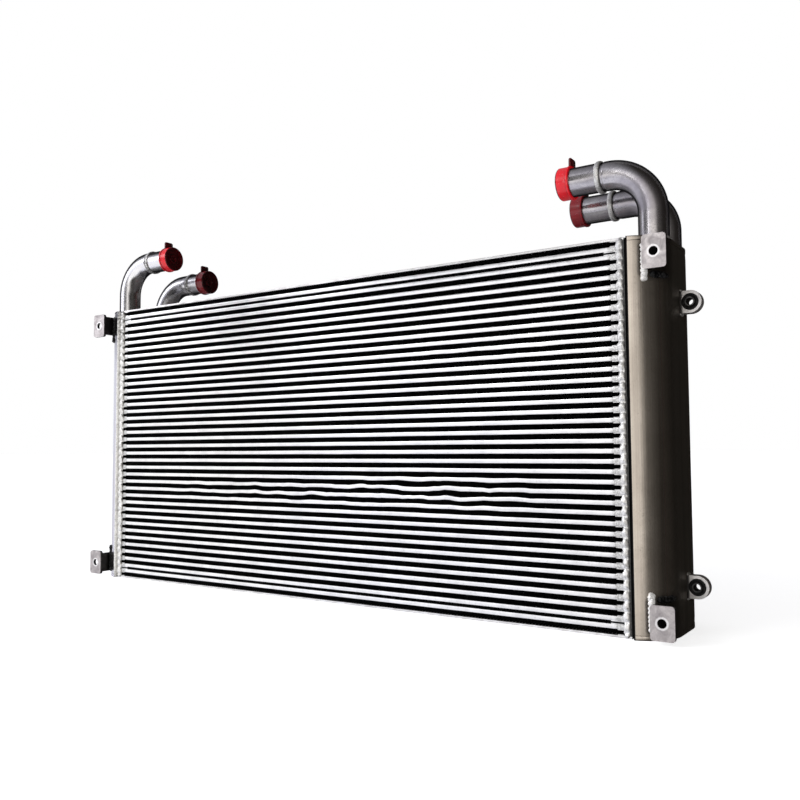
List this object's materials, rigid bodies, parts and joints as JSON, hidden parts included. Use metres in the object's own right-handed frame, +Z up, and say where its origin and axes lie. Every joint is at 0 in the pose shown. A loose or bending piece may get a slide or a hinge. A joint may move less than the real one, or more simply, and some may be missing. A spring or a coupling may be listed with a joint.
{
  "type": "hydraulic oil cooler",
  "caption": "Wide bar-and-plate hydraulic oil cooler: finned core between two rounded side tanks, bent top pipes with push-on end caps, folded front brackets and rubber-bushed side ears.",
  "frame": {"origin": "centre of the four-hole front bracket pattern, in the plane of the bracket faces", "axes": "+X to the right seen from the front, +Y towards the back (the way the air leaves), +Z up"},
  "size_m": [1.096, 0.1671, 0.6114],
  "materials": {
    "bar_aluminium": "bright milled aluminium with braze marks",
    "tank_aluminium": "satin extruded aluminium, lightly stained",
    "fin_black": "matt black fins",
    "weld_bright": "bright rippled weld metal",
    "bracket_aluminium": "satin sheet with scuffs",
    "pipe_aluminium": "drawn tube, satin",
    "cap_red": "red moulded polyethylene",
    "bush_rubber": "black moulded rubber",
    "sleeve_steel": "zinc plated, dulled"
  },
  "bodies": {
    "cooler": {"air_fins": "fin_black", "oil_turbulators": "bar_aluminium", "parting_sheets": "bar_aluminium", "front_oil_bars": "bar_aluminium", "rear_oil_bars": "bar_aluminium", "top_side_plate": "bar_aluminium", "bottom_side_plate": "bar_aluminium", "pipe_base_welds": "weld_bright", "bracket_welds": "weld_bright", "ear_welds": "weld_bright", "ear_bushes": "bush_rubber", "ear_bush_sleeves": "sleeve_steel", "left_end_bars": "bar_aluminium", "left_tank": "tank_aluminium", "left_tank_top": "tank_aluminium", "left_tank_bottom": "tank_aluminium", "left_core_seams": "weld_bright", "left_front_elbow": "pipe_aluminium", "left_front_spigot": "pipe_aluminium", "left_front_collar": "weld_bright", "left_rear_elbow": "pipe_aluminium", "left_rear_spigot": "pipe_aluminium", "left_rear_collar": "weld_bright", "left_upper_bracket": "bracket_aluminium", "left_upper_ear": "bracket_aluminium", "left_lower_bracket": "bracket_aluminium", "left_lower_ear": "bracket_aluminium", "right_end_bars": "bar_aluminium", "right_tank": "tank_aluminium", "right_tank_top": "tank_aluminium", "right_tank_bottom": "tank_aluminium", "right_core_seams": "weld_bright", "right_front_elbow": "pipe_aluminium", "right_front_spigot": "pipe_aluminium", "right_front_collar": "weld_bright", "right_rear_elbow": "pipe_aluminium", "right_rear_spigot": "pipe_aluminium", "right_rear_collar": "weld_bright", "right_upper_bracket": "bracket_aluminium", "right_upper_ear": "bracket_aluminium", "right_lower_bracket": "bracket_aluminium", "right_lower_ear": "bracket_aluminium"},
    "left_front_cap": {"left_front_port_cap": "cap_red"},
    "left_rear_cap": {"left_rear_port_cap": "cap_red"},
    "right_front_cap": {"right_front_port_cap": "cap_red"},
    "right_rear_cap": {"right_rear_port_cap": "cap_red"}
  },
  "joints": [
    {"name": "left_front_cap_pull", "type": "slide", "parent": "cooler", "child": "left_front_cap", "axis": [1, 0, 0], "range_m": [0, 0.15]},
    {"name": "left_rear_cap_pull", "type": "slide", "parent": "cooler", "child": "left_rear_cap", "axis": [1, 0, 0], "range_m": [0, 0.15]},
    {"name": "right_front_cap_pull", "type": "slide", "parent": "cooler", "child": "right_front_cap", "axis": [-1, 0, 0], "range_m": [0, 0.15]},
    {"name": "right_rear_cap_pull", "type": "slide", "parent": "cooler", "child": "right_rear_cap", "axis": [-1, 0, 0], "range_m": [0, 0.15]}
  ]
}
